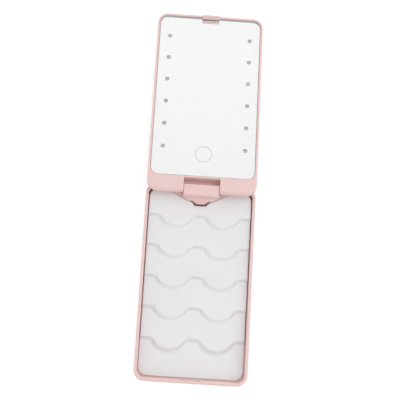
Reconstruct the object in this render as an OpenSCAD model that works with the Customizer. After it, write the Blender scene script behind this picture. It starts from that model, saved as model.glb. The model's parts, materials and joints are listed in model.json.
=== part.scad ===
// False eyelash case: a flat tray with a stepped lash insert, and a fold-over lid
// that holds a mirror with touch lights.
// Millimetres, +Z up. The origin is the centre of the tray's flat underside. The
// hinge runs along X at the +Y end, and the lid is drawn opened right out.

/* [Tray] */
// Width of the tray
tray_w = 78; // [72:0.5:90]
// Length of the tray, from hinge end to front
tray_l = 140; // [134:0.5:156]
// Height of the tray's rim above its underside
tray_h = 11; // [10.6:0.1:13]
// Plan radius of the corners of tray and lid
corner_r = 7.2; // [6.6:0.1:9]
// Radius round the tray's bottom edge
tray_edge_r = 6; // [4:0.1:6.4]
// Thickness of the tray's side walls
tray_wall = 2.1; // [1.8:0.1:2.5]
// Thickness of the tray's floor
tray_floor = 1.6; // [1.2:0.1:1.8]
// Radius where the tray's walls meet its floor
tray_cove_r = 0.8; // [0.4:0.1:0.9]
// Rounding of the tray's rim edges
tray_rim_r = 0.6; // [0.3:0.1:0.8]

/* [Lid] */
// Thickness of the lid, back to rim
lid_t = 8.8; // [8.6:0.1:10]
// How far each side of the lid stands in from the tray's side
lid_side_step = 0.2; // [0:0.05:0.5]
// Gap between lid and tray where they pass or face each other
lid_gap = 0.3; // [0.25:0.05:0.6]
// Radius round the lid's back edge
lid_edge_r = 5; // [4:0.1:5.6]
// Rounding of the lid's rim edges
lid_rim_r = 0.5; // [0.2:0.1:0.7]
// Radius along the mirror side of the lid's hinge end
band_end_r = 3.4; // [3.2:0.1:3.5]
// Thickness of the frame's side walls
lid_wall = 1.6; // [1.4:0.1:1.9]
// Thickness of the back cover's wall
cover_wall = 1.5; // [1.2:0.1:1.6]
// Height of the joint between frame and cover above the lid's back
split_h = 3.4; // [3:0.1:3.6]
// Thickness of the deck under the mirror
deck_t = 1; // [0.8:0.1:1.2]
// Length of the plain band between hinge end and mirror
band_l = 11.2; // [11:0.1:14]
// Width of the rim at the lid's far end
far_rim = 1.7; // [1.6:0.1:2.4]
// Thickness of the cover's lip inside the frame
lip_t = 0.8; // [0.6:0.1:1]
// Height of that lip above the joint
lip_h = 0.6; // [0.4:0.1:0.8]
// Gap between parts that are slipped into one another
seat_gap = 0.1; // [0.05:0.01:0.15]

/* [Hinge] */
// Distance of the hinge axis from the ends of tray and lid
hinge_inset = 3.6; // [3.5:0.05:3.7]
// Diameter of the hinge pins
pin_d = 2; // [1.6:0.1:2.2]
// Length of each hinge pin
pin_l = 13; // [11:0.5:13]
// Length of each pin that sits in the knuckle
pin_reach = 6; // [5:0.1:6.4]
// Radial clearance between pin and knuckle
pin_play = 0.05; // [0.03:0.01:0.08]
// Radial clearance between pin and ear
pin_seat = 0.02; // [0.01:0.01:0.03]
// Width of the knuckle
knuckle_w = 25.1; // [22:0.1:26]
// Gap between knuckle and slot on each side
slot_side_gap = 0.35; // [0.3:0.05:0.5]
// Gap between knuckle and slot end over the whole travel
slot_end_gap = 0.7; // [0.5:0.05:0.8]
// Radius of the knuckle's barrel
barrel_r = 2.5; // [2.3:0.1:2.6]
// Height of the knuckle's flat top above the axis
arm_top = 2.3; // [2:0.1:2.3]
// Reach of the knuckle's arm towards the front
arm_l = 5.7; // [5.5:0.1:5.8]
// Reach of the knuckle's top behind the axis
arm_back = 2.3; // [1.8:0.1:2.3]
// Rounding of the knuckle's back top edge
back_round = 0.3; // [0.2:0.05:0.5]
// Rounding of the arm's front top edge
arm_round = 1.4; // [1:0.1:1.6]
// Thickness of the leg that carries the knuckle
leg_t = 2.4; // [2:0.1:2.8]
// Length of each ear that holds a pin
ear_l = 7.6; // [7:0.1:8.5]
// Radius of an ear round its pin
ear_r = 2.6; // [2.3:0.1:2.7]
// Thickness of the walls round the slot
slot_wall = 1.2; // [1:0.1:1.4]
// Thickness of the cover's floor under the knuckle
slot_floor_t = 0.9; // [0.8:0.05:0.9]

/* [Hinge block] */
// Width of the block's front face
block_w = 16.4; // [14:0.2:18]
// Angle of the block's flanks in plan
block_flank_a = 27.4; // [24:0.2:32]
// How far the block stands out in front of the knuckle
block_step = 1.5; // [1:0.1:2]
// Height of the block's top below the tray's rim
block_drop = 0.4; // [0.3:0.1:0.8]
// Height of the slope along the block's front edge
block_slope_h = 1.6; // [1:0.1:2]
// Width of the locating tab at the block
tab_w = 11.8; // [10:0.2:13]
// Width of the tab's front end
tab_tip_w = 8; // [7:0.2:9]
// Length of the tab
tab_l = 2.1; // [1.9:0.1:3]
// Corner radius of the tab's front end
tab_r = 1.6; // [1:0.1:1.8]
// Gap between the tab and the insert
tab_gap = 1.5; // [0.5:0.1:1.6]
// Gap between the block and the insert
block_gap = 0.35; // [0.3:0.05:0.6]

/* [Lash insert] */
// Gap between the insert and the tray's side walls
insert_side_gap = 0.7; // [0.6:0.1:1.4]
// Gap between the insert and the tray's front wall
insert_front_gap = 0.6; // [0.6:0.1:1.4]
// Gap between the insert and the tray's hinge wall
insert_end_gap = 0.6; // [0.6:0.1:1.4]
// Plan radius of the insert's corners
insert_r = 4.6; // [3:0.1:5]
// Thickness of the insert's wall
insert_t = 0.8; // [0.7:0.05:1]
// Thickness of the adhesive pads under the insert
pad_t = 0.15; // [0.1:0.05:0.2]
// Number of scalloped rows
rows = 5; // [4:1:5]
// Distance from one row to the next
row_pitch = 21.85; // [20:0.05:22.5]
// Distance of the first row's line from the tray's hinge end
row_first = 22.6; // [21:0.1:24]
// Height of each row's step
riser_h = 2; // [1.6:0.1:2.2]
// Rise of each row's floor towards the front
ramp_h = 0.9; // [0.6:0.05:1.1]
// Radius of the scallops
scallop_r = 13.4; // [12:0.1:14]
// Distance of the scallops' centres from the middle
scallop_x = 16.5; // [15.5:0.1:17]
// Depth of the scallops in front of the row's line
scallop_depth = 8.2; // [6:0.1:9]

/* [Snap hook and catch] */
// Width of the hook
hook_w = 12.7; // [10:0.1:14]
// Thickness of the hook
hook_t = 1.2; // [1:0.1:1.3]
// Height of the hook above the lid's rim
hook_h = 4.2; // [3.8:0.1:4.4]
// Gap between the hook and the mirror glass
hook_glass_gap = 0.1; // [0.05:0.05:0.2]
// Width of the hook's barb
barb_w = 6; // [4:0.1:6.6]
// Height of the barb
barb_h = 2.2; // [1.6:0.1:2.4]
// How far the barb stands out
barb_out = 0.6; // [0.4:0.05:0.65]
// Gap between the hook and the sides of its recess
catch_side_gap = 0.5; // [0.3:0.05:1]
// Gap between the closed hook and the ridge
hook_play = 0.3; // [0.2:0.05:0.35]
// Gap behind the barb in the closed catch
catch_gap = 0.2; // [0.15:0.05:0.3]
// Width of the ridge that the barb passes
ridge_w = 7; // [6.8:0.1:8]
// Height of that ridge
ridge_h = 1.2; // [1:0.1:1.3]

/* [Mirror] */
// Depth of the mirror's face below the lid's rim
mirror_recess = 0.4; // [0.3:0.1:0.6]
// Thickness of the mirror glass
glass_t = 1.1; // [0.9:0.1:1.3]
// Thickness of the reflective film
film_t = 0.1; // [0.05:0.05:0.15]
// Thickness of the mirror's adhesive ring
tape_t = 0.15; // [0.1:0.05:0.2]
// Width of the mirror's adhesive ring
tape_w = 3; // [2:0.1:3.5]
// Gap between the mirror and the frame
mirror_gap = 0.3; // [0.2:0.05:0.4]

/* [Lights] */
// Number of lights on each side
led_rows = 6; // [4:1:6]
// Distance of the lights from the lid's side
led_side = 9.3; // [8.8:0.1:10]
// Distance of the first light from the lid's far end
led_first = 18; // [16:0.1:22]
// Distance of the last light from the hinge axis
led_last = 30; // [29.5:0.1:34]
// Diameter of the clear windows in the film
window_d = 3.1; // [2.6:0.1:3.6]
// Length of a light chip
led_l = 3.5; // [3:0.1:3.8]
// Width of a light chip
led_w = 2.8; // [2.4:0.1:3]
// Height of a light chip
led_h = 0.7; // [0.5:0.05:0.8]
// Gap round a light chip in the deck's hole
led_gap = 0.25; // [0.15:0.05:0.35]
// Width of the light strips
strip_w = 7; // [6.6:0.1:7.4]
// Thickness of the light strips
strip_t = 0.8; // [0.6:0.1:0.9]
// Length of a light strip beyond its outer lights
strip_end = 4; // [3:0.1:4.5]

/* [Electronics] */
// Distance of the touch pad from the hinge axis
touch_y = 25.3; // [24.5:0.1:27]
// Diameter of the touch pad
touch_d = 10; // [8:0.1:11]
// Thickness of the main board
board_t = 0.6; // [0.5:0.1:0.8]
// Width of the main board's left part
board_left = 14; // [13:0.1:15]
// Distance of the main board's hinge end from the axis
board_y0 = 10.5; // [10:0.1:11]
// Length of the main board's wide part
board_l = 14; // [13.5:0.1:14.2]
// Length of the main board's tongue under the touch pad
tongue_l = 8; // [7:0.1:9]
// Width of the charging port
port_w = 7.5; // [7:0.1:8]
// Depth of the charging port
port_l = 5.6; // [5:0.1:6]
// Height of the charging port
port_h = 2.6; // [2.4:0.1:2.8]
// Distance of the charging port from the hinge axis
port_y = 17.8; // [17:0.1:18.5]
// Wall of the charging port's metal shell
port_shell = 0.3; // [0.25:0.05:0.4]
// Gap between the port and the lid's wall
port_gap = 0.3; // [0.2:0.05:0.4]
// Length of the largest chip
chip_l = 4.9; // [4:0.1:5.2]
// Width of the largest chip
chip_w = 3.9; // [3:0.1:4]
// Height of the largest chip
chip_h = 1.4; // [1:0.1:1.7]
// Length of the small chips
small_chip_l = 2.9; // [2:0.1:3]
// Width of the small chips
small_chip_w = 1.6; // [1.2:0.1:1.8]
// Height of the small chips
small_chip_h = 1.1; // [0.8:0.1:1.4]
// Distance from one chip to the next
chip_pitch = 7; // [6:0.1:7.2]
// Distance of the chips from the main board's edge
chip_edge = 3; // [2.2:0.1:3.2]
// Length of the smallest parts on the board
bit_l = 1.6; // [1:0.1:2]
// Width of those parts
bit_w = 0.8; // [0.5:0.1:1]
// Height of those parts
bit_h = 0.45; // [0.3:0.05:0.8]
// Distance from one of those parts to the next
bit_pitch = 4.5; // [3:0.1:4.8]
// Distance from the chips' row to the row of smallest parts
bit_step = 4.5; // [3.5:0.1:5]
// Gap between the battery and the screw posts
battery_gap = 1.8; // [1:0.1:4]
// Length of the battery
battery_l = 50; // [40:0.5:55]
// Thickness of the battery
battery_t = 3.2; // [2.8:0.1:3.3]
// Distance of the battery's near end from the hinge axis
battery_y = 48; // [46:0.5:52]
// Thickness of the battery's adhesive pad
battery_tape_t = 0.3; // [0.2:0.05:0.3]
// Diameter of the wires
wire_d = 0.8; // [0.6:0.05:1]
// Distance between paired wires
wire_pitch = 2; // [1.6:0.1:2.6]

/* [Screws] */
// Shank diameter of the screws
screw_d = 1.6; // [1.4:0.1:1.8]
// Head diameter of the screws
screw_head_d = 3; // [2.8:0.1:3.2]
// Length of the screws
screw_l = 4.5; // [4:0.1:4.6]
// Diameter of the screw posts
post_d = 4.4; // [3.8:0.1:4.8]
// Distance of the screws from the lid's side
screw_side = 17.8; // [17.4:0.1:18.4]
// Distance of the first screws from the hinge axis
screw_y = 16; // [15:0.1:16.5]
// Distance of the last screws from the lid's far end
screw_far = 10.7; // [9:0.1:14]

/* [Hidden] */

$fn = 64;
eps = 0.01;
far = 300;      // larger than the whole case, for cutting tools

pink = [0.93, 0.80, 0.79];
white = [0.92, 0.92, 0.92];
steel = [0.75, 0.76, 0.78];
board_green = [0.16, 0.38, 0.26];
wire_red = [0.75, 0.15, 0.12];

// Hinge axis, in the tray's frame
hinge_y = tray_l/2 - hinge_inset;
hinge_z = tray_h + lid_gap + lid_t/2;

// Lid, in its own frame: origin on the hinge axis, +Y to the far end, +Z out of the mirror
lid_w = tray_w - 2*lid_side_step;
lid_l = tray_l;
lid_y0 = -hinge_inset;
lid_y1 = lid_l - hinge_inset;
lid_mid_y = (lid_y0 + lid_y1)/2;
rim_z = lid_t/2;
back_z = -lid_t/2;
split_z = back_z + split_h;
cover_z = back_z + cover_wall;
glass_top = rim_z - mirror_recess;
glass_z = glass_top - glass_t;
film_z = glass_z - film_t;
deck_top = film_z - tape_t;
deck_z = deck_top - deck_t;

// The open lid leans back until its far back edge meets the ground
edge_y = lid_y1 - lid_edge_r;
edge_z = back_z + lid_edge_r;
recline = asin((hinge_z - lid_edge_r)/norm([edge_y, edge_z])) + atan2(edge_z, edge_y);

// Mirror and its pocket
pocket_w = lid_w - 2*lid_wall;
pocket_y0 = lid_y0 + band_l;
pocket_y1 = lid_y1 - far_rim;
pocket_r = corner_r - lid_wall;

// Hinge slot
arm_reach = norm([arm_l - arm_round, arm_top - arm_round]) + arm_round;
slot_w = knuckle_w + 2*slot_side_gap;
slot_end = arm_reach + slot_end_gap;
slot_edge_y = -1.2;                     // where the cover's back starts inside the slot
ear_x = slot_w/2 + ear_l;
ear_back = ear_r + 0.8;                 // how far the ears' blocks reach towards the mirror
slot_z = back_z + slot_floor_t;
pin_x = knuckle_w/2 - pin_reach;

// Hinge block and tab, in the tray's frame
block_y = hinge_y - arm_l - block_step;
block_back = tray_l/2 - tray_wall + eps;
block_top = tray_h - block_drop;
root_z = tray_floor/2;                  // what stands on the floor starts inside it
leg_y = hinge_y - arm_l;

// Insert
insert_w = tray_w - 2*(tray_wall + insert_side_gap);
insert_y0 = -tray_l/2 + tray_wall + insert_front_gap;
insert_y1 = tray_l/2 - tray_wall - insert_end_gap;
insert_z = tray_floor + pad_t;
tier_z = insert_z + insert_t;           // top of the flat front tier
ramp_slope = ramp_h/row_pitch;
foot = 8;                               // side of the square feet at the hinge end
foot_inset = 2;
foot_x = insert_w/2 - foot - foot_inset;
foot_y = tray_l/2 - row_first + foot_inset;

// Catch in the tray's front wall
wall_y = -tray_l/2 + tray_wall;
catch_w = hook_w + 2*catch_side_gap;
hook_back_y = hinge_y - pocket_y1;      // outer face of the closed hook
ridge_y = hook_back_y - hook_play;
catch_y = hook_back_y - barb_out - catch_gap;
hook_tip_z = hinge_z - rim_z - hook_h;
catch_z = hook_tip_z - 1;               // the recess starts 1 below the hook's tip

// Electronics
board_right = lid_w/2 - lid_wall - seat_gap - lip_t - port_gap;
port_inset = 1.8;                       // of the port's mouth from the lid's side
port_x1 = lid_w/2 - port_inset;
wire_inset = 1.5;                       // of the wires' ends from the boards' edges
post_gap = 0.3;                         // round a screw post and a touch pad
led_x = lid_w/2 - led_side;
led_pitch = (lid_y1 - led_first - led_last)/(led_rows - 1);
strip_y0 = led_last - strip_end;
strip_y1 = lid_y1 - led_first + strip_end;
wire_z = deck_z - board_t - 1;
screw_x = lid_w/2 - screw_side;
screw_pitch = (lid_y1 - screw_far - screw_y)/2;
battery_w = 2*(screw_x - post_d/2 - battery_gap);

function led_y(i) = lid_y1 - led_first - i*led_pitch;
function row_y(k) = tray_l/2 - row_first - k*row_pitch;
function crest_z(k) = tier_z + riser_h + (riser_h - ramp_h)*(rows - 1 - k);

// ---- helpers ----

// What an arc of radius r cuts off a square corner at the origin
module corner_cut(r) {
    difference() {
        translate([-eps, -eps]) square(r + eps);
        translate([r, r]) circle(r);
    }
}

// Carries a 2D edge profile round a rounded rectangle. The profile's x runs
// outwards from the corners' centres, and its y is height.
module sweep_round(w, l, r) {
    for (turn = [0:3]) {
        reach = (turn % 2 == 0 ? w : l)/2 - r;
        run = (turn % 2 == 0 ? l : w) - 2*r;
        rotate([0, 0, 90*turn]) translate([reach, 0, 0]) {
            rotate([90, 0, 0]) linear_extrude(run, center = true) children();
            translate([0, run/2, 0]) rotate_extrude(angle = 90) children();
        }
    }
}

// A rounded plate from z0 to z1 whose edge has the 2D profile given
module edged_plate(w, l, r, z0, z1) {
    sweep_round(w, l, r) children();
    translate([-w/2 + r, -l/2 + r, z0]) cube([w - 2*r, l - 2*r, z1 - z0]);
}

module rounded_rect(x0, y0, x1, y1, r) {
    translate([x0 + r, y0]) square([x1 - x0 - 2*r, y1 - y0]);
    translate([x0, y0 + r]) square([x1 - x0, y1 - y0 - 2*r]);
    for (x = [x0 + r, x1 - r], y = [y0 + r, y1 - r]) translate([x, y]) circle(r);
}

// Extrudes a profile drawn in Y and Z from x0 to x1
module along_x(x0, x1) {
    translate([x0, 0, 0]) rotate([90, 0, 90]) linear_extrude(x1 - x0) children();
}

module on_both_sides() {
    children();
    mirror([1, 0, 0]) children();
}

module at_hinge() {
    translate([0, hinge_y, hinge_z]) children();
}

module place_lid() {
    at_hinge() rotate([-recline, 0, 0]) children();
}

// ---- tray ----

// The tray's wall and a strip of its floor, with every edge rounded
module tray_edge() {
    difference() {
        square([corner_r, tray_h]);
        difference() {
            translate([-1, tray_floor]) square([corner_r - tray_wall + 1, tray_h]);
            translate([corner_r - tray_wall, tray_floor]) mirror([1, 0]) corner_cut(tray_cove_r);
        }
        translate([corner_r, 0]) mirror([1, 0]) corner_cut(tray_edge_r);
        translate([corner_r, tray_h]) rotate(180) corner_cut(tray_rim_r);
        translate([corner_r - tray_wall, tray_h]) mirror([0, 1]) corner_cut(tray_rim_r);
    }
}

module tray_tub() {
    difference() {
        edged_plate(tray_w, tray_l, corner_r, 0, tray_floor) tray_edge();
        // room for the lid as it leans back over the hinge end
        place_lid() translate([-far/2, lid_y0, back_z - lid_gap]) cube([far, 4*hinge_inset, lid_t]);
        catch_recess();
    }
}

// Recess that takes the hook, with the ridge left standing at its top
module catch_recess() {
    difference() {
        translate([-catch_w/2, catch_y, catch_z]) cube([catch_w, wall_y + 1 - catch_y, tray_h]);
        translate([-ridge_w/2, catch_y - 1, tray_h - ridge_h])
            cube([ridge_w, ridge_y + 1 - catch_y, tray_h]);
    }
}

module block_plan(gap) {
    grow = gap/cos(block_flank_a) - gap*tan(block_flank_a);
    front = block_y - gap;
    depth = block_back - front;
    w0 = block_w/2 + grow;
    w1 = w0 + depth/tan(block_flank_a);
    polygon([[-w0, front], [w0, front], [w1, block_back], [-w1, block_back]]);
}

module tab_plan() {
    hull() {
        translate([-tab_w/2, block_y]) square([tab_w, eps]);
        for (x = [-1, 1])
            translate([x*(tab_tip_w/2 - tab_r), block_y - tab_l + tab_r]) circle(tab_r, $fn = 32);
    }
}

module hinge_block() {
    slope_y = block_y + block_step;
    intersection() {
        translate([0, 0, root_z]) linear_extrude(tray_h) block_plan(0);
        along_x(-tray_w/2, tray_w/2) polygon([
            [block_y, root_z], [block_back, root_z], [block_back, block_top],
            [slope_y, block_top], [block_y, block_top - block_slope_h]
        ]);
    }
    translate([0, 0, root_z])
        linear_extrude(block_top - block_slope_h - root_z) tab_plan();
}

// The leg stands on the block and narrows to the block's width
module knuckle_leg() {
    foot_w = block_w/2 + block_step/tan(block_flank_a);
    leg_top = hinge_z - barrel_r + eps;
    translate([0, leg_y + leg_t, 0]) rotate([90, 0, 0]) linear_extrude(leg_t) polygon([
        [-knuckle_w/2, leg_top], [-foot_w, block_top - eps],
        [foot_w, block_top - eps], [knuckle_w/2, leg_top]
    ]);
}

module knuckle() {
    difference() {
        along_x(-knuckle_w/2, knuckle_w/2) {
            circle(barrel_r);
            difference() {
                translate([-arm_l, -barrel_r]) square([arm_l, barrel_r + arm_top]);
                translate([-arm_l, arm_top]) mirror([0, 1]) corner_cut(arm_round);
            }
            difference() {
                translate([-1, 0]) square([arm_back + 1, arm_top]);
                translate([arm_back, arm_top]) rotate(180) corner_cut(back_round);
            }
        }
        on_both_sides() translate([pin_x - seat_gap, 0, 0]) rotate([0, 90, 0])
            cylinder(h = knuckle_w, r = pin_d/2 + pin_play);
    }
}

module tray_shell() {
    color(pink) {
        tray_tub();
        hinge_block();
        knuckle_leg();
        at_hinge() knuckle();
    }
}

// ---- lash insert ----

module insert_plan(inset) {
    difference() {
        rounded_rect(-insert_w/2 + inset, insert_y0 + inset, insert_w/2 - inset,
                     insert_y1 - inset, insert_r - inset);
        block_plan(block_gap + inset);
        offset(r = tab_gap + inset) tab_plan();
    }
}

// Everything behind the scalloped line of row k
module row_plan(k, inset) {
    y = row_y(k);
    r = scallop_r - inset;
    translate([-tray_w, y + inset]) square([2*tray_w, tray_l]);
    for (side = [-1, 1])
        translate([side*scallop_x, y - scallop_depth + scallop_r]) circle(r);
}

// Solid steps, pulled in by inset and lowered by drop, standing on z0
module insert_steps(inset, drop, z0) {
    for (k = [0:rows - 1]) intersection() {
        translate([0, 0, z0]) linear_extrude(tray_h) intersection() {
            insert_plan(inset);
            row_plan(k, inset);
        }
        translate([0, row_y(k), crest_z(k) - drop]) rotate([-atan(ramp_slope), 0, 0])
            translate([-tray_w, -tray_l, -far]) cube([2*tray_w, 3*tray_l, far]);
    }
}

module lash_insert() {
    color(white) {
        difference() {
            union() {
                translate([0, 0, insert_z]) linear_extrude(insert_t) insert_plan(0);
                insert_steps(0, 0, insert_z);
            }
            insert_steps(insert_t, insert_t, insert_z - 1);
        }
        on_both_sides() translate([foot_x, foot_y, insert_z])
            cube([foot, foot, crest_z(0) - insert_z - insert_t - ramp_h + eps]);
    }
}

module insert_tape() {
    strip = 12;
    color("gold") {
        translate([-insert_w/2 + insert_r, insert_y0 + 2, tray_floor])
            cube([insert_w - 2*insert_r, strip, pad_t]);
        on_both_sides() translate([foot_x, foot_y, tray_floor]) cube([foot, foot, pad_t]);
    }
}

// ---- hinge pins ----

module hinge_pin() {
    chamfer = 0.3;
    color(steel) place_lid() translate([pin_x, 0, 0]) rotate([0, 90, 0]) {
        cylinder(h = chamfer, r1 = pin_d/2 - chamfer, r2 = pin_d/2);
        translate([0, 0, chamfer]) cylinder(h = pin_l - 2*chamfer, r = pin_d/2);
        translate([0, 0, pin_l - chamfer]) cylinder(h = chamfer, r1 = pin_d/2, r2 = pin_d/2 - chamfer);
    }
}

module hinge_pin_left() {
    mirror([1, 0, 0]) hinge_pin();
}

module hinge_pin_right() {
    hinge_pin();
}

// ---- lid shells ----

// The lid's outer edge between two heights
module lid_edge(z0, z1) {
    difference() {
        translate([0, z0]) square([corner_r, z1 - z0]);
        translate([corner_r, back_z]) mirror([1, 0]) corner_cut(lid_edge_r);
        translate([corner_r, rim_z]) rotate(180) corner_cut(lid_rim_r);
    }
}

module lid_body(z0, z1) {
    translate([0, lid_mid_y, 0])
        edged_plate(lid_w, lid_l, corner_r, z0, z1) lid_edge(z0, z1);
}

// Room inside the back cover, kept clear of its walls by gap
module cover_room(gap) {
    step = cover_wall + gap;
    r = corner_r - step;
    z0 = back_z + step;
    translate([0, lid_mid_y, 0]) edged_plate(lid_w - 2*step, lid_l - 2*step, r, z0, rim_z)
        difference() {
            translate([0, z0]) square([r, rim_z - z0]);
            translate([r, z0]) mirror([1, 0]) corner_cut(lid_edge_r - step);
        }
}

module inner_plan(step) {
    rounded_rect(-lid_w/2 + step, lid_y0 + step, lid_w/2 - step, lid_y1 - step, corner_r - step);
}

module pocket_plan(gap) {
    rounded_rect(-pocket_w/2 + gap, pocket_y0 + gap, pocket_w/2 - gap, pocket_y1 - gap,
                 pocket_r - gap);
}

module at_leds() {
    for (side = [-1, 1], i = [0:led_rows - 1]) translate([side*led_x, led_y(i), 0]) children();
}

module at_screws() {
    for (side = [-1, 1], i = [0:2]) translate([side*screw_x, screw_y + i*screw_pitch, 0]) children();
}

module slot_space() {
    translate([-slot_w/2, lid_y0 - 1, -lid_t]) cube([slot_w, slot_end - lid_y0 + 1, 2*lid_t]);
}

module slot_walls_plan() {
    w = slot_w/2 + slot_wall;
    translate([-w, lid_y0]) square([2*w, slot_end + slot_wall - lid_y0]);
}

module ears_plan() {
    translate([-ear_x, lid_y0]) square([2*ear_x, ear_back - lid_y0]);
}

// Space for the port's mouth through the joint of frame and cover
module port_cut() {
    translate([port_x1 - port_l - port_gap, port_y - port_w/2 - port_gap,
               deck_z - board_t - port_h - port_gap])
        cube([2*port_l, port_w + 2*port_gap, port_h + 2*port_gap]);
}

// What hangs from the frame into the back cover: the slot's walls and the ears
module frame_hang() {
    intersection() {
        union() {
            translate([0, 0, back_z]) linear_extrude(split_h + eps) slot_walls_plan();
            along_x(-ear_x, ear_x) circle(ear_r);
        }
        cover_room(seat_gap);
    }
}

module snap_hook() {
    y1 = pocket_y1;
    y0 = y1 - hook_t;
    z0 = glass_top + hook_glass_gap;
    z1 = rim_z + hook_h;
    root = 0.9;
    along_x(-hook_w/2, hook_w/2) difference() {
        translate([y0, z0]) square([hook_t, z1 - z0]);
        translate([y0, z1]) mirror([0, 1]) corner_cut(hook_t/3);
        translate([y1, z1]) rotate(180) corner_cut(hook_t/3);
    }
    // where it grows out of the rim
    along_x(-hook_w/2, hook_w/2) translate([y0 + hook_t/2, z0]) square([hook_t/2 + root/2, rim_z - z0 - eps]);
    along_x(-barb_w/2, barb_w/2) polygon([
        [y1 - eps, z1 - 0.2], [y1 + barb_out, z1 - barb_h/2 - 0.2],
        [y1 + barb_out, z1 - barb_h + 0.2], [y1 - eps, z1 - barb_h]
    ]);
    on_both_sides() along_x(ridge_w/2 + catch_side_gap, hook_w/2)
        polygon([[y1 - eps, rim_z - eps], [y1 + root, rim_z - eps], [y1 - eps, rim_z + root]]);
}

module frame_hollows() {
    // mirror pocket
    translate([0, 0, deck_top]) linear_extrude(lid_t) pocket_plan(0);
    // room under the deck
    translate([0, 0, back_z]) linear_extrude(deck_z - back_z) difference() {
        inner_plan(lid_wall);
        slot_walls_plan();
        ears_plan();
    }
    // hollows under the band, outside the ears
    translate([0, 0, back_z]) linear_extrude(rim_z - lid_wall - back_z) intersection() {
        inner_plan(lid_wall);
        difference() {
            translate([-far/2, lid_y0]) square([far, band_l - slot_wall]);
            translate([-ear_x, lid_y0]) square([2*ear_x, band_l]);
        }
    }
    // rounded hinge end
    along_x(-far/2, far/2) translate([lid_y0, rim_z]) mirror([0, 1]) corner_cut(band_end_r);
    // holes in the deck
    at_leds() translate([-led_w/2 - led_gap, -led_l/2 - led_gap, deck_z - 1])
        cube([led_w + 2*led_gap, led_l + 2*led_gap, deck_t + 2]);
    translate([0, touch_y, deck_z - 1]) cylinder(h = deck_t + 2, d = touch_d + 2*post_gap);
    at_screws() {
        translate([0, 0, deck_z - 1]) cylinder(h = deck_t + 2, d = screw_d + 4*seat_gap);
        translate([0, 0, deck_top]) screw_head(seat_gap);
    }
    port_cut();
}

module lid_frame() {
    color(pink) place_lid() {
        difference() {
            union() {
                difference() {
                    lid_body(split_z, rim_z);
                    frame_hollows();
                }
                frame_hang();
            }
            slot_space();
            on_both_sides() translate([slot_w/2 - 1, 0, 0]) rotate([0, 90, 0])
                cylinder(h = ear_l + 2, r = pin_d/2 + pin_seat);
        }
        snap_hook();
    }
}

module cover_lip() {
    lip_low = 1.2;
    difference() {
        translate([0, 0, split_z - lip_low]) linear_extrude(lip_low + lip_h) difference() {
            inner_plan(lid_wall + seat_gap);
            inner_plan(lid_wall + seat_gap + lip_t);
            translate([-ear_x - port_gap, lid_y0]) square([2*(ear_x + port_gap), band_l]);
        }
        port_cut();
    }
}

module lid_back_cover() {
    color(pink) place_lid() difference() {
        union() {
            difference() {
                lid_body(back_z, split_z);
                cover_room(0);
                port_cut();
            }
            cover_lip();
            at_screws() translate([0, 0, cover_z - eps]) cylinder(h = deck_z - cover_z + eps, d = post_d);
        }
        // the knuckle's slot
        translate([-slot_w/2, lid_y0 - 1, slot_z]) cube([slot_w, slot_end - lid_y0 + 1, lid_t]);
        translate([-slot_w/2, lid_y0 - 1, back_z - 1]) cube([slot_w, slot_edge_y - lid_y0 + 1, lid_t]);
        at_screws() translate([0, 0, deck_top - screw_l - 0.2])
            cylinder(h = lid_t, r = screw_d/2 + pin_seat);
    }
}

// ---- mirror ----

module mirror_glass() {
    color("lightcyan") place_lid() translate([0, 0, glass_z]) linear_extrude(glass_t)
        pocket_plan(mirror_gap);
}

module mirror_backing() {
    color("silver") place_lid() difference() {
        translate([0, 0, film_z]) linear_extrude(film_t) pocket_plan(mirror_gap);
        at_leds() translate([0, 0, film_z - 1]) cylinder(h = film_t + 2, d = window_d);
    }
}

module mirror_tape() {
    color("dimgray") place_lid() translate([0, 0, deck_top]) linear_extrude(tape_t) difference() {
        pocket_plan(2*mirror_gap);
        pocket_plan(2*mirror_gap + tape_w);
    }
}

// ---- lights ----

module led_board_right() {
    color(board_green) place_lid() translate([led_x - strip_w/2, strip_y0, deck_z - strip_t])
        cube([strip_w, strip_y1 - strip_y0, strip_t]);
}

module led_board_left() {
    mirror([1, 0, 0]) led_board_right();
}

module leds() {
    dome_r = led_w/2 - 0.3;
    dome_cut = 0.15;
    color("khaki") place_lid() at_leds() difference() {
        translate([-led_w/2, -led_l/2, deck_z]) cube([led_w, led_l, led_h]);
        translate([0, 0, deck_z + led_h - dome_cut]) cylinder(h = 1, r = dome_r);
    }
}

// ---- electronics ----

module main_board() {
    tongue_w = touch_d + 6;
    color(board_green) place_lid() difference() {
        translate([0, 0, deck_z - board_t]) linear_extrude(board_t) {
            translate([-board_left, board_y0]) square([board_left + board_right, board_l]);
            translate([-tongue_w/2, board_y0]) square([tongue_w, board_l + tongue_l]);
        }
        translate([screw_x, screw_y, back_z]) cylinder(h = lid_t, d = post_d + 2*post_gap);
    }
}

// A chip on the underside of the main board
module chip(x, y, l, w, h) {
    translate([x - l/2, y - w/2, deck_z - board_t - h]) cube([l, w, h]);
}

module board_chips() {
    chips_y = board_y0 + chip_edge;
    bits_y = chips_y + bit_step;
    color("black") place_lid() {
        chip(-chip_pitch, chips_y, chip_l, chip_w, chip_h);
        for (i = [0:2]) chip(i*chip_pitch, chips_y, small_chip_l, small_chip_w, small_chip_h);
        for (i = [-2:2]) chip(i*bit_pitch, bits_y, bit_l, bit_w, bit_h);
        // between the screw post and the port
        chip((screw_x + port_x1 - port_l)/2, bits_y, small_chip_l, small_chip_w, small_chip_h);
    }
}

module touch_pad() {
    color("gray") place_lid() translate([0, touch_y, deck_z]) cylinder(h = film_z - deck_z, d = touch_d);
}

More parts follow.
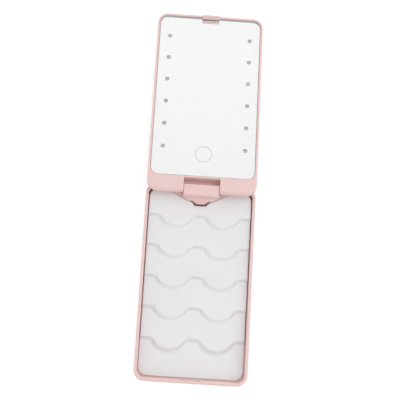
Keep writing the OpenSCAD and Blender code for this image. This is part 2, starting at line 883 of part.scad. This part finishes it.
// Metal socket with a thin tongue in its mouth
module charging_port() {
    top = deck_z - board_t;
    mouth = port_l - 1;
    tongue_t = 0.7;
    color(steel) place_lid() translate([port_x1 - port_l, port_y - port_w/2, top - port_h]) {
        difference() {
            cube([port_l, port_w, port_h]);
            translate([port_l - mouth, port_shell, port_shell])
                cube([port_l, port_w - 2*port_shell, port_h - 2*port_shell]);
        }
        translate([port_l - mouth - eps, port_w/4, (port_h - tongue_t)/2])
            cube([mouth - 0.6, port_w/2, tongue_t]);
    }
}

module battery() {
    edge = battery_t/2;
    z0 = deck_z - battery_tape_t - battery_t;
    // a pouch with round long edges
    color("lightsteelblue") place_lid() translate([0, battery_y, z0]) {
        translate([-battery_w/2 + edge, 0, 0]) cube([battery_w - 2*edge, battery_l, battery_t]);
        for (side = [-1, 1]) translate([side*(battery_w/2 - edge), 0, edge]) rotate([-90, 0, 0])
            cylinder(h = battery_l, r = edge);
    }
}

module battery_tape() {
    margin = 4;
    color("white") place_lid()
        translate([-battery_w/2 + margin, battery_y + margin, deck_z - battery_tape_t])
            cube([battery_w - 2*margin, battery_l - 2*margin, battery_tape_t]);
}

// A round end or elbow, and a post up to height z from the wires' level
module wire_post(x, y, z) {
    translate([x, y, wire_z]) {
        sphere(d = wire_d);
        cylinder(h = z - wire_z, d = wire_d);
    }
}

module battery_leads() {
    start_y = board_y0 + board_l + tongue_l - wire_inset;
    color(wire_red) place_lid() for (side = [-1, 1]) {
        x = side*wire_pitch/2;
        wire_post(x, start_y, deck_z - board_t);
        translate([x, start_y, wire_z]) rotate([-90, 0, 0])
            cylinder(h = battery_y - start_y, d = wire_d);
    }
}

module led_leads() {
    x0 = touch_d/2 + wire_inset;
    x1 = led_x - wire_inset;
    y0 = strip_y0 + wire_inset;
    color(wire_red) place_lid() on_both_sides() for (i = [0:1]) {
        y = y0 + i*wire_pitch;
        wire_post(x0, y, deck_z - board_t);
        wire_post(x1, y, deck_z - strip_t);
        translate([x0, y, wire_z]) rotate([0, 90, 0]) cylinder(h = x1 - x0, d = wire_d);
    }
}

// ---- screws ----

// Countersunk head with its flat top at the origin, grown by gap
module screw_head(gap) {
    h = (screw_head_d - screw_d)/2;
    translate([0, 0, -h - gap])
        cylinder(h = h + gap, d1 = screw_d, d2 = screw_head_d + 2*gap);
}

module lid_screws() {
    cross_w = 0.35;
    cross_l = 1.7;
    cross_h = 0.35;
    color(steel) place_lid() at_screws() difference() {
        union() {
            translate([0, 0, deck_top]) screw_head(0);
            translate([0, 0, deck_top - screw_l]) cylinder(h = screw_l - cross_h, d = screw_d);
        }
        for (turn = [0, 90]) translate([0, 0, deck_top]) rotate([0, 0, turn])
            cube([cross_l, cross_w, 2*cross_h], center = true);
    }
}

tray_shell();
lash_insert();
insert_tape();
hinge_pin_left();
hinge_pin_right();
lid_frame();
lid_back_cover();
mirror_glass();
mirror_backing();
mirror_tape();
led_board_left();
led_board_right();
leds();
main_board();
board_chips();
touch_pad();
charging_port();
battery();
battery_tape();
battery_leads();
led_leads();
lid_screws();
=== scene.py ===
"""The looks of a false eyelash case: pink tray with a white stepped insert, and a lid with a lit mirror.

The object's lengths are in millimetres and are turned into metres as its meshes are made. The stage's
are in metres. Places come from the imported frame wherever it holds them.
"""

import json
import math

import bmesh
import bpy
import numpy as np
from mathutils import Matrix, Vector


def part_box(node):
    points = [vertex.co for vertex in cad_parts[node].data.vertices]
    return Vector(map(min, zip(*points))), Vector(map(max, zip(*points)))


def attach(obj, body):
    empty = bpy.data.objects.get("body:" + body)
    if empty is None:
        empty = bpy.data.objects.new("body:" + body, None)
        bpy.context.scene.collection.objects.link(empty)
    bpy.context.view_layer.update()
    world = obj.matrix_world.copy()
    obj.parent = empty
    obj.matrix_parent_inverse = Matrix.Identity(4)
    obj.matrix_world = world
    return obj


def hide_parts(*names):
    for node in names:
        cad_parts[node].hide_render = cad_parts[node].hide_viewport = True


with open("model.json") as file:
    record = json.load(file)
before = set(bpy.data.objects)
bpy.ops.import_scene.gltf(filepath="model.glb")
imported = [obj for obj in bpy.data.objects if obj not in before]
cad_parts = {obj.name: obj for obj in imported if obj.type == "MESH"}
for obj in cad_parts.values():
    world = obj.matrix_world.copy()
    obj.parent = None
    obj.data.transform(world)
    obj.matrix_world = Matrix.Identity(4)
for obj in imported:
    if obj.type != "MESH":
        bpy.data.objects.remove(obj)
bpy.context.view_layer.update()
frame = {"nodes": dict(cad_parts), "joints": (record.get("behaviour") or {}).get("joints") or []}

MM = 0.001


# ---------------------------------------------------------------- frame

def box_mm(node):
    """A node's lowest and highest corners."""
    low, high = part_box(node)
    return low / MM, high / MM


HINGE = frame["joints"][0]
HINGE_POS = Vector(HINGE["pos_m"]) / MM
# How far the opened lid leans back past flat
RECLINE = math.radians(HINGE["range_deg"][1] - 180)
# From the lid's own frame (origin on the hinge, +Y to the far end, +Z out of the mirror) to the row's
LID = Matrix.Translation(HINGE_POS) @ Matrix.Rotation(-RECLINE, 4, "X")
MIRROR_FACING = (0, math.sin(RECLINE), math.cos(RECLINE))


# ---------------------------------------------------------------- node helpers

class Nodes:
    """A node tree with short calls to add nodes and join them."""

    def __init__(self, tree):
        self.tree = tree

    def add(self, kind, **values):
        """A new node. Each value is a property of the node or, if it has none of that name, an input."""
        node = self.tree.nodes.new(kind)
        for key, value in values.items():
            if hasattr(node, key):
                setattr(node, key, value)
            else:
                node.inputs[key.replace("_", " ")].default_value = value
        return node

    def join(self, source, target):
        self.tree.links.new(source, target)

    def spread(self, value, low, high, from_low=0.3, from_high=0.7):
        """Value from its own range to low and high. Noise mostly lies between 0.3 and 0.7."""
        node = self.add("ShaderNodeMapRange")
        node.inputs["From Min"].default_value = from_low
        node.inputs["From Max"].default_value = from_high
        node.inputs["To Min"].default_value = low
        node.inputs["To Max"].default_value = high
        self.join(value, node.inputs["Value"])
        return node.outputs["Result"]

    def tint(self, value, dark, light):
        """A mix of two colours, each given as numbers or as another node's output."""
        node = self.add("ShaderNodeMix", data_type="RGBA")
        for socket, colour in (("A", dark), ("B", light)):
            if isinstance(colour, tuple):
                node.inputs[socket].default_value = (*colour, 1)
            else:
                self.join(colour, node.inputs[socket])
        self.join(value, node.inputs["Factor"])
        return node.outputs["Result"]

    def seen(self):
        """1 for a ray from the camera, off gloss or through glass, and 0 for a ray that only lights."""
        path = self.add("ShaderNodeLightPath")
        either = path.outputs["Is Camera Ray"]
        for kind in ("Is Glossy Ray", "Is Transmission Ray"):
            larger = self.add("ShaderNodeMath", operation="MAXIMUM")
            self.join(either, larger.inputs[0])
            self.join(path.outputs[kind], larger.inputs[1])
            either = larger.outputs[0]
        return either


class Surface(Nodes):
    """A new material and its nodes."""

    def __init__(self, name):
        self.material = bpy.data.materials.new(name)
        self.material.use_nodes = True
        super().__init__(self.material.node_tree)
        self.shader = self.tree.nodes["Principled BSDF"]
        self.output = self.tree.nodes["Material Output"]

    def set(self, **values):
        """Plain values on the shader's own inputs."""
        for key, value in values.items():
            self.shader.inputs[key.replace("_", " ")].default_value = value

    def colour(self, value):
        self.join(value, self.shader.inputs["Base Color"])

    def rough(self, value):
        self.join(value, self.shader.inputs["Roughness"])

    def bump(self, value, height_mm):
        node = self.add("ShaderNodeBump", Strength=1.0)
        node.inputs["Distance"].default_value = height_mm * MM
        self.join(value, node.inputs["Height"])
        self.join(node.outputs["Normal"], self.shader.inputs["Normal"])

    def place(self):
        return self.add("ShaderNodeTexCoord").outputs["Object"]

    def noise(self, size_mm, detail=2.0):
        """Noise whose lumps are about size_mm across, from 0 to 1."""
        node = self.add("ShaderNodeTexNoise", Detail=detail)
        node.inputs["Scale"].default_value = 1 / (size_mm * MM)
        self.join(self.place(), node.inputs["Vector"])
        return node.outputs["Fac"]

    def slope(self, direction):
        """How squarely the surface faces along direction or against it: 1 when square on, 0 at its edge."""
        facing = self.add("ShaderNodeVectorMath", operation="DOT_PRODUCT")
        facing.inputs[1].default_value = direction
        self.join(self.add("ShaderNodeTexCoord").outputs["Normal"], facing.inputs[0])
        size = self.add("ShaderNodeMath", operation="ABSOLUTE")
        self.join(facing.outputs["Value"], size.inputs[0])
        return size.outputs[0]


# ---------------------------------------------------------------- materials

PINK = (0.925, 0.80, 0.79)
WHITE = (0.915, 0.915, 0.918)
# Painted shade: the insert's white is taken down to this on its steep steps, to stand in for the shade that
# falls there
WHITE_STEP_SHADE = (0.835, 0.835, 0.838)   # the insert's sheet on its steps
STEEL = (0.75, 0.76, 0.78)
FOIL = (0.75, 0.77, 0.79)
ADHESIVE = (0.3, 0.3, 0.31)
SOLDER_MASK = (0.88, 0.89, 0.88)
CHIP_BLACK = (0.07, 0.07, 0.08)
FOAM = (0.25, 0.25, 0.26)
WIRE_RED = (0.72, 0.1, 0.08)
FROSTED = (0.895, 0.895, 0.9)
RESIN_DARK = (0.66, 0.66, 0.66)
RESIN_LIGHT = (0.90, 0.90, 0.89)

# The upward part of a surface's normal at which a formed sheet counts as steep and takes the full painted
# shade, and as flat and takes none
STEEP = 0.78
FLAT = 0.94

FLOW_MARK = 0.012         # how much darker moulded plastic is in its flow marks

# How squarely the glass faces the mirror's way where it is still ground edge, and where it is clear face
EDGE_FACING = 0.4
FACE_FACING = 0.6
FACE_ALPHA = 0.06         # opacity of the clear face


def linear(colour):
    """sRGB as seen to the linear values that shaders take."""
    return tuple(c / 12.92 if c <= 0.04045 else ((c + 0.055) / 1.055) ** 2.4 for c in colour)


def darker(colour, share):
    """A colour with each part taken down to share of itself."""
    return tuple(share * c for c in colour)


def moulded_plastic(name, colour, rough, step_shade_colour=None):
    """Satin moulded plastic: a fine spark-eroded grain, faint flow marks and uneven gloss.

    A thin formed sheet also takes a darker colour on its steep faces: painted shade that stands in for the
    shade falling on its steps.
    """
    m = Surface(name)
    marks = m.spread(m.noise(22, detail=3), 0, 1)
    base = m.tint(marks, linear(tuple(c - FLOW_MARK for c in colour)), linear(colour))
    if step_shade_colour:
        # Painted shade: the steeper a face, the more of the darker colour it takes
        step_shade_mask = m.spread(m.slope((0, 0, 1)), 1, 0, STEEP, FLAT)
        base = m.tint(step_shade_mask, base, linear(step_shade_colour))
    m.colour(base)
    m.rough(m.spread(m.noise(6), rough - 0.04, rough + 0.05))
    m.bump(m.noise(0.35, detail=1), 0.004)
    m.set(IOR=1.48)
    return m.material


def plain_metal(name, colour, rough):
    """Bare metal with fine mottling in its colour and gloss."""
    m = Surface(name)
    m.set(Metallic=1.0)
    m.colour(m.tint(m.noise(0.8), linear(darker(colour, 0.85)), linear(colour)))
    m.rough(m.spread(m.noise(0.3), rough - 0.06, rough + 0.08))
    m.bump(m.noise(0.12, detail=0), 0.002)
    return m.material


def soft_matte(name, colour, rough=0.7, lump_mm=1.0, height_mm=0.01):
    """Dull material with lumps of a given size and height, such as foam, adhesive or wire cover."""
    m = Surface(name)
    m.colour(m.tint(m.noise(lump_mm, detail=3), linear(darker(colour, 0.9)), linear(colour)))
    m.rough(m.spread(m.noise(2 * lump_mm), rough - 0.05, rough + 0.05))
    m.bump(m.noise(lump_mm), height_mm)
    return m.material


def mirror_film(name):
    """The mirror's reflective film, a little uneven in shade and sharpness."""
    m = Surface(name)
    m.set(Metallic=1.0)
    m.colour(m.tint(m.noise(30), (0.972, 0.973, 0.974), (0.985, 0.986, 0.987)))
    m.rough(m.spread(m.noise(9), 0.015, 0.03))
    return m.material


def clear_glass(name):
    """Thin clear glass: nearly see-through, with its own gloss and a ground grey edge."""
    m = Surface(name)
    m.rough(m.spread(m.noise(14), 0.0, 0.03))
    edge = m.spread(m.slope(MIRROR_FACING), 1.0, 0.0, EDGE_FACING, FACE_FACING)
    m.colour(m.tint(edge, (0.9, 0.9, 0.9), (0.35, 0.35, 0.35)))
    m.join(m.spread(edge, FACE_ALPHA, 1.0, 0.0, 1.0), m.shader.inputs["Alpha"])
    m.set(IOR=1.5)
    return m.material


def circuit_board(name, colour):
    """Solder mask with faint tracks under it."""
    m = Surface(name)
    tracks = m.add("ShaderNodeTexBrick", Scale=1 / (4 * MM), Mortar_Size=0.04)
    m.join(m.place(), tracks.inputs["Vector"])
    m.colour(m.tint(tracks.outputs["Fac"], linear(colour), linear(darker(colour, 0.88))))
    m.rough(m.spread(m.noise(1.5), 0.3, 0.4))
    m.bump(tracks.outputs["Fac"], 0.02)
    return m.material


def phosphor(name):
    """The grey resin of light chips that are off, each a little different and speckled."""
    m = Surface(name)
    each = m.add("ShaderNodeNewGeometry").outputs["Random Per Island"]
    speck = m.add("ShaderNodeMix", data_type="RGBA", blend_type="MULTIPLY")
    speck.inputs["Factor"].default_value = 0.5
    m.join(m.tint(each, linear(RESIN_DARK), linear(RESIN_LIGHT)), speck.inputs["A"])
    m.join(m.tint(m.noise(0.5), (0.6, 0.6, 0.6), (1, 1, 1)), speck.inputs["B"])
    m.colour(speck.outputs["Result"])
    m.rough(m.spread(m.noise(1), 0.25, 0.4))
    return m.material


def dress(material, *nodes):
    """Give CAD nodes a material."""
    for node in nodes:
        mesh = frame["nodes"][node].data
        mesh.materials.clear()
        mesh.materials.append(material)


# ---------------------------------------------------------------- mesh helpers

SHARP_ANGLE = math.radians(30)


def new_object(name, bm, material, sharp_angle=SHARP_ANGLE):
    """An object in the scene from a finished bmesh, with edges above sharp_angle kept sharp."""
    mesh = bpy.data.meshes.new(name)
    bm.to_mesh(mesh)
    bm.free()
    obj = bpy.data.objects.new(name, mesh)
    bpy.context.scene.collection.objects.link(obj)
    mesh.materials.append(material)
    mesh.shade_smooth()
    mesh.set_sharp_from_angle(angle=sharp_angle)
    return obj


def apply_modifiers(obj):
    depsgraph = bpy.context.evaluated_depsgraph_get()
    mesh = bpy.data.meshes.new_from_object(obj.evaluated_get(depsgraph))
    obj.modifiers.clear()
    old = obj.data
    obj.data = mesh
    bpy.data.meshes.remove(old)


def smooth_max(a, b, blend):
    """The larger of two fields, with the crease between them rounded over about blend."""
    h = np.clip(0.5 + 0.5 * (a - b) / blend, 0, 1)
    return a * h + b * (1 - h) + blend * h * (1 - h)


def polygon_distance(x, y, points):
    """Distance from every x, y to the closed outline of points."""
    best = np.full(x.shape, 1e9)
    for (ax, ay), (bx, by) in zip(points, points[1:] + points[:1]):
        dx, dy = bx - ax, by - ay
        t = np.clip(((x - ax) * dx + (y - ay) * dy) / (dx * dx + dy * dy), 0, 1)
        best = np.minimum(best, np.hypot(x - ax - t * dx, y - ay - t * dy))
    return best


def rounded_box_depth(x, y, low, high, corner):
    """How deep every x, y lies inside a rounded rectangle that is centred on x = 0."""
    qx = np.abs(x) - (high.x - corner)
    qy = np.abs(y - (low.y + high.y) / 2) - ((high.y - low.y) / 2 - corner)
    return corner - np.hypot(np.maximum(qx, 0), np.maximum(qy, 0)) - np.minimum(np.maximum(qx, qy), 0)


def solid_under(x, y, top, floor_z):
    """A closed bmesh: a grid of tops, a wall round it down to floor_z, and a flat bottom."""
    rows, columns = x.shape
    bm = bmesh.new()
    grid = [[bm.verts.new((x[j, i] * MM, y[j, i] * MM, top[j, i] * MM)) for i in range(columns)]
            for j in range(rows)]
    for j in range(rows - 1):
        for i in range(columns - 1):
            bm.faces.new((grid[j][i], grid[j][i + 1], grid[j + 1][i + 1], grid[j + 1][i]))
    front = grid[0]
    right = [row[-1] for row in grid[1:]]
    back = grid[-1][-2::-1]
    left = [row[0] for row in grid[-2:0:-1]]
    rim = front + right + back + left
    foot = [bm.verts.new((p.co.x, p.co.y, floor_z * MM)) for p in rim]
    for a in range(len(rim)):
        b = (a + 1) % len(rim)
        bm.faces.new((rim[b], rim[a], foot[a], foot[b]))
    bm.faces.new(list(reversed(foot)))
    return bm


def cut_away(obj, outline, height_mm):
    """Cut the prism that stands on the ground over outline out of an object."""
    bm = bmesh.new()
    face = bm.faces.new([bm.verts.new((x * MM, y * MM, 0)) for x, y in outline])
    raised = bmesh.ops.extrude_face_region(bm, geom=[face])["geom"]
    lifted = [part for part in raised if isinstance(part, bmesh.types.BMVert)]
    bmesh.ops.translate(bm, verts=lifted, vec=(0, 0, height_mm * MM))
    bmesh.ops.recalc_face_normals(bm, faces=bm.faces[:])
    cutter = new_object("cutter", bm, obj.data.materials[0])
    cut = obj.modifiers.new("cut", "BOOLEAN")
    cut.operation = "DIFFERENCE"
    cut.solver = "EXACT"
    cut.object = cutter
    apply_modifiers(obj)
    bpy.data.objects.remove(cutter)


# ---------------------------------------------------------------- lash insert

# Sizes of its plain solid, as the CAD source has them
ROWS = 5
ROW_PITCH = 21.85
ROW_FIRST = 22.6          # from the tray's hinge end to the first row's straight line
RISER = 2.0               # height of the front step
RAMP = 0.9                # rise of each row's floor towards the front
SCALLOP_R = 13.4
SCALLOP_X = 16.5          # from the middle to the scallops' centres
SCALLOP_DEPTH = 8.2       # how far the scallops reach in front of the row's straight line
FRONT_TIER = 0.8          # thickness of the flat front tier

# The tray's block at the hinge and the tab on its front, which the insert's notch goes round, likewise
BLOCK_W = 16.4            # width of the block's front
BLOCK_FLANK = math.radians(27.4)      # its flanks' angle with the hinge line
KNUCKLE_REACH = 5.7       # from the hinge to the front of the knuckle on the block
BLOCK_STEP = 1.5          # how far the block stands out in front of the knuckle
TAB_TIP_W = 8.0           # width of the tab's front end
TAB_W = 11.8              # and of its root
TAB_L = 2.1
TAB_R = 1.6               # radius of its corners
TAB_GAP = 1.5             # width of the pocket round it

# What only the formed sheet has
BLOCK_GAP = 0.12          # between the block and the sheet
INSERT_CORNER = 6.6       # its corners' radius, seen from above
INSERT_FLARE = 0.3        # how far its long edges spread past the plain solid, towards the tray's walls
FRONT_SHORT = 1.5         # how far its front edge stops before the plain solid's
INSERT_EDGE = 1.0         # rounding round its top
LEAST_EDGE = 0.15         # height of the upright edge that is left below that rounding
SCALLOP_BLEND = 2.2       # rounding where the scallops meet the row's straight line
RISER_FOOT = 0.4          # the share of a step's run that lies in front of the plain step
RISER_RUN = 3.8           # how far each step takes to fall on its straight lengths, seen from above
SCALLOP_RUN = 5.4         # and at the scallops' fronts
POCKET_START = 20         # degrees past the side at which the pocket starts to turn round the tab's corner
POCKET_STEPS = 8          # facets of that turn

GRID = 0.36               # spacing of the insert's mesh
INSERT_SHARP = math.radians(40)
CUT_PAST = 20             # how far the notch's cutter goes past the insert's hinge end
CUT_HEIGHT = 30


def notch_outline(hinge_end_y):
    """The insert's cut-out at the hinge: slanted flanks beside the block, and a pocket round the tab."""
    front = HINGE_POS.y - KNUCKLE_REACH - BLOCK_STEP
    inner = BLOCK_W / 2 + BLOCK_GAP * (1 / math.cos(BLOCK_FLANK) - math.tan(BLOCK_FLANK))
    outer = inner + (hinge_end_y - front + BLOCK_GAP) / math.tan(BLOCK_FLANK)
    half = [(outer, hinge_end_y), (inner, front - BLOCK_GAP), (TAB_W / 2 + TAB_GAP, front - BLOCK_GAP)]
    # the pocket's corner turns about the tab's own, until it runs straight across in front of the tab
    x, y, r = TAB_TIP_W / 2 - TAB_R, front - TAB_L + TAB_R, TAB_R + TAB_GAP
    for i in range(POCKET_STEPS + 1):
        a = -math.radians(POCKET_START + (90 - POCKET_START) * i / POCKET_STEPS)
        half.append((x + r * math.cos(a), y + r * math.sin(a)))
    return half + [(-x, y) for x, y in reversed(half)]


def insert_tops(x, y, front_z, hinge_end_y):
    """Height of the stepped top above every x, y, before its edges are rounded."""
    z = np.full(x.shape, front_z)
    for row in reversed(range(ROWS)):
        line = hinge_end_y - ROW_FIRST - row * ROW_PITCH
        crest = front_z + RISER + (RISER - RAMP) * (ROWS - 1 - row)
        inside = y - line
        for side in (-1, 1):
            disc = SCALLOP_R - np.hypot(x - side * SCALLOP_X, y - (line - SCALLOP_DEPTH + SCALLOP_R))
            inside = smooth_max(inside, disc, SCALLOP_BLEND)
        forward = np.clip((line - y) / SCALLOP_DEPTH, 0, 1)
        run = RISER_RUN + (SCALLOP_RUN - RISER_RUN) * forward
        t = np.clip(inside / run + RISER_FOOT, 0, 1)
        rise = t * t * (3 - 2 * t)
        ramp = crest - RAMP / ROW_PITCH * (y - line)
        z = z + (ramp - z) * rise
    return z


def make_insert(material):
    """The insert as a formed sheet with soft steps, in place of its plain solid."""
    low, high = box_mm("lash_insert")
    low.x -= INSERT_FLARE
    high.x += INSERT_FLARE
    low.y += FRONT_SHORT
    hinge_end_y = box_mm("tray_shell")[1].y
    notch = notch_outline(hinge_end_y)

    across = np.linspace(-1, 1, 2 * round(high.x / GRID) + 1)
    along = np.linspace(low.y, high.y, round((high.y - low.y) / GRID) + 1)
    # rows shorten round the corners
    end = np.clip(INSERT_CORNER - np.minimum(along - low.y, high.y - along), 0, INSERT_CORNER)
    half = high.x - INSERT_CORNER + np.sqrt(INSERT_CORNER ** 2 - end ** 2)
    x = across[None, :] * half[:, None]
    y = np.repeat(along[:, None], len(across), axis=1)
    top = insert_tops(x, y, low.z + FRONT_TIER, hinge_end_y)

    depth = rounded_box_depth(x, y, low, high, INSERT_CORNER)
    depth = np.minimum(depth, polygon_distance(x, y, notch))
    r = np.minimum(INSERT_EDGE, top - low.z - LEAST_EDGE)
    e = np.clip(r - depth, 0, r)
    top = top - (r - np.sqrt(r * r - e * e))

    bm = solid_under(x, y, top, low.z)
    obj = new_object("lash_insert_skin", bm, material, INSERT_SHARP)
    cut_away(obj, [(px, py + (CUT_PAST if py > high.y else 0)) for px, py in notch], CUT_HEIGHT)
    obj.data.set_sharp_from_angle(angle=INSERT_SHARP)
    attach(obj, "tray")
    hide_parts("lash_insert")


# ---------------------------------------------------------------- mirror

TOUCH_Y = 25.3            # the touch switch's middle, from the hinge
RING_R = 5.8
RING_W = 0.65
RING_STEPS = 96
MARK_LIFT = 0.03          # how far the ring stands in from the back of the glass
FILM_GAP = 0.02           # keeps the film's face from lying exactly in the glass's back


def make_touch_ring(material):
    """The frosted ring round the touch switch, on the back of the glass."""
    low, high = box_mm("mirror_glass")
    # the far end of the glass's back, in the lid's frame
    back = LID.inverted() @ Vector((0, high.y, low.z))
    bm = bmesh.new()
    circles = []
    for r in (RING_R - RING_W / 2, RING_R + RING_W / 2):
        circle = []
        for i in range(RING_STEPS):
            a = 2 * math.pi * i / RING_STEPS
            point = Vector((r * math.cos(a), TOUCH_Y + r * math.sin(a), back.z + MARK_LIFT))
            circle.append(bm.verts.new((LID @ point) * MM))
        circles.append(circle)
    inner, outer = circles
    for i in range(RING_STEPS):
        j = (i + 1) % RING_STEPS
        bm.faces.new((inner[i], outer[i], outer[j], inner[j]))
    obj = new_object("touch_ring", bm, material)
    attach(obj, "lid")


def part_film_from_glass():
    """Thin the film by a hair on all sides."""
    slim = frame["nodes"]["mirror_backing"].modifiers.new("slim", "DISPLACE")
    slim.mid_level = 0
    slim.strength = -FILM_GAP * MM


# ---------------------------------------------------------------- stage

# The camera, as its pose over the tray's frame: turns in radians, then the move in its own axes in mm
LENS = 108.0
SENSOR = 36
CAMERA_TURNS = {"X": -0.27621344, "Y": 0.03036168, "Z": -0.05790141}
CAMERA_MOVE = (-3.3023, -60.0937, -845.5064)
CAMERA_NEAR = 0.05

FLOOR_REACH = 3.0
FLOOR_GREY = 0.6
FLOOR_GLOW = 0.6          # added where the floor is seen, so that it reaches white

SKY_LAMP = 0.86           # the sky's strength as a lamp
# Heights on the sky, as sines of elevation, between which its white fades to FADED where it is seen
FADE_START = 0.85
FADE_END = 0.91
FADED = 0.915

KEY_PLACE = (0.6, -0.1, 1.3)
KEY_TARGET = (0, 0.05, 0)
KEY_SIDE = 1.4
KEY_WATTS = 4


def make_floor():
    """A floor that bounces light as pale grey and is white where it is seen."""
    m = Surface("floor_white")
    m.set(Base_Color=(FLOOR_GREY, FLOOR_GREY, FLOOR_GREY, 1), Roughness=0.9, Specular_IOR_Level=0.0)
    glow = m.add("ShaderNodeEmission", Color=(1, 1, 1, 1), Strength=FLOOR_GLOW)
    pick = m.add("ShaderNodeMixShader")
    m.join(m.seen(), pick.inputs["Fac"])
    m.join(glow.outputs[0], pick.inputs[2])
    total = m.add("ShaderNodeAddShader")
    m.join(m.shader.outputs[0], total.inputs[0])
    m.join(pick.outputs[0], total.inputs[1])
    m.join(total.outputs[0], m.output.inputs["Surface"])
    bm = bmesh.new()
    r = FLOOR_REACH
    bm.faces.new([bm.verts.new(corner) for corner in ((-r, -r, 0), (r, -r, 0), (r, r, 0), (-r, r, 0))])
    floor = new_object("floor", bm, m.material)


def make_world():
    """Even white sky: dimmer as a lamp, and where it is seen, white that fades a little at the top."""
    world = bpy.data.worlds.new("sky")
    bpy.context.scene.world = world
    world.use_nodes = True
    sky = Nodes(world.node_tree)
    lamp = sky.tree.nodes["Background"]
    lamp.inputs["Color"].default_value = (1, 1, 1, 1)
    lamp.inputs["Strength"].default_value = SKY_LAMP
    direction = sky.add("ShaderNodeSeparateXYZ")
    sky.join(sky.add("ShaderNodeTexCoord").outputs["Generated"], direction.inputs[0])
    shown = sky.add("ShaderNodeBackground", Strength=1.0)
    sky.join(sky.spread(direction.outputs["Z"], 1.0, FADED, FADE_START, FADE_END), shown.inputs["Color"])
    pick = sky.add("ShaderNodeMixShader")
    sky.join(sky.seen(), pick.inputs["Fac"])
    sky.join(lamp.outputs[0], pick.inputs[1])
    sky.join(shown.outputs[0], pick.inputs[2])
    sky.join(pick.outputs[0], sky.tree.nodes["World Output"].inputs["Surface"])


def make_key_lamp():
    """A weak, broad lamp above, a little to the right."""
    light = bpy.data.lights.new("key", "AREA")
    light.size = KEY_SIDE
    light.energy = KEY_WATTS
    obj = bpy.data.objects.new("key", light)
    bpy.context.scene.collection.objects.link(obj)
    obj.location = KEY_PLACE
    obj.rotation_mode = "QUATERNION"
    obj.rotation_quaternion = (Vector(KEY_TARGET) - Vector(KEY_PLACE)).to_track_quat("-Z", "Y")


def make_camera():
    """The camera at the photograph's view."""
    turn = (Matrix.Rotation(CAMERA_TURNS["Z"], 4, "Z") @ Matrix.Rotation(CAMERA_TURNS["X"], 4, "X")
            @ Matrix.Rotation(CAMERA_TURNS["Y"], 4, "Y"))
    to_camera = Matrix.Translation(Vector(CAMERA_MOVE) * MM) @ turn
    data = bpy.data.cameras.new("camera")
    data.lens = LENS
    data.sensor_width = SENSOR
    data.clip_start = CAMERA_NEAR
    camera = bpy.data.objects.new("camera", data)
    bpy.context.scene.collection.objects.link(camera)
    camera.matrix_world = to_camera.inverted()
    bpy.context.scene.camera = camera


# ---------------------------------------------------------------- the scene

make_camera()
bpy.context.scene.view_settings.view_transform = "Standard"
make_world()
make_floor()
make_key_lamp()

pink = moulded_plastic("pink_plastic", PINK, 0.42)
# The insert's white carries painted shade on its steep steps
white = moulded_plastic("white_plastic", WHITE, 0.38, WHITE_STEP_SHADE)
steel = plain_metal("steel", STEEL, 0.3)
adhesive = soft_matte("adhesive", ADHESIVE)
dress(pink, "tray_shell", "lid_frame", "lid_back_cover")
dress(steel, "hinge_pin_left", "hinge_pin_right", "lid_screws", "charging_port")
dress(adhesive, "insert_tape", "mirror_tape", "battery_tape")
dress(clear_glass("mirror_glass"), "mirror_glass")
dress(mirror_film("mirror_film"), "mirror_backing")
part_film_from_glass()
dress(circuit_board("circuit_board", SOLDER_MASK), "led_board_left", "led_board_right", "main_board")
dress(phosphor("phosphor"), "leds")
dress(soft_matte("chip_black", CHIP_BLACK, 0.6, 0.4, 0.004), "board_chips")
dress(soft_matte("conductive_foam", FOAM, 0.9, 0.5, 0.05), "touch_pad")
dress(plain_metal("battery_foil", FOIL, 0.4), "battery")
dress(soft_matte("wire_red", WIRE_RED, 0.45, 0.6), "battery_leads", "led_leads")

make_insert(white)
make_touch_ring(soft_matte("frosted_mark", FROSTED))
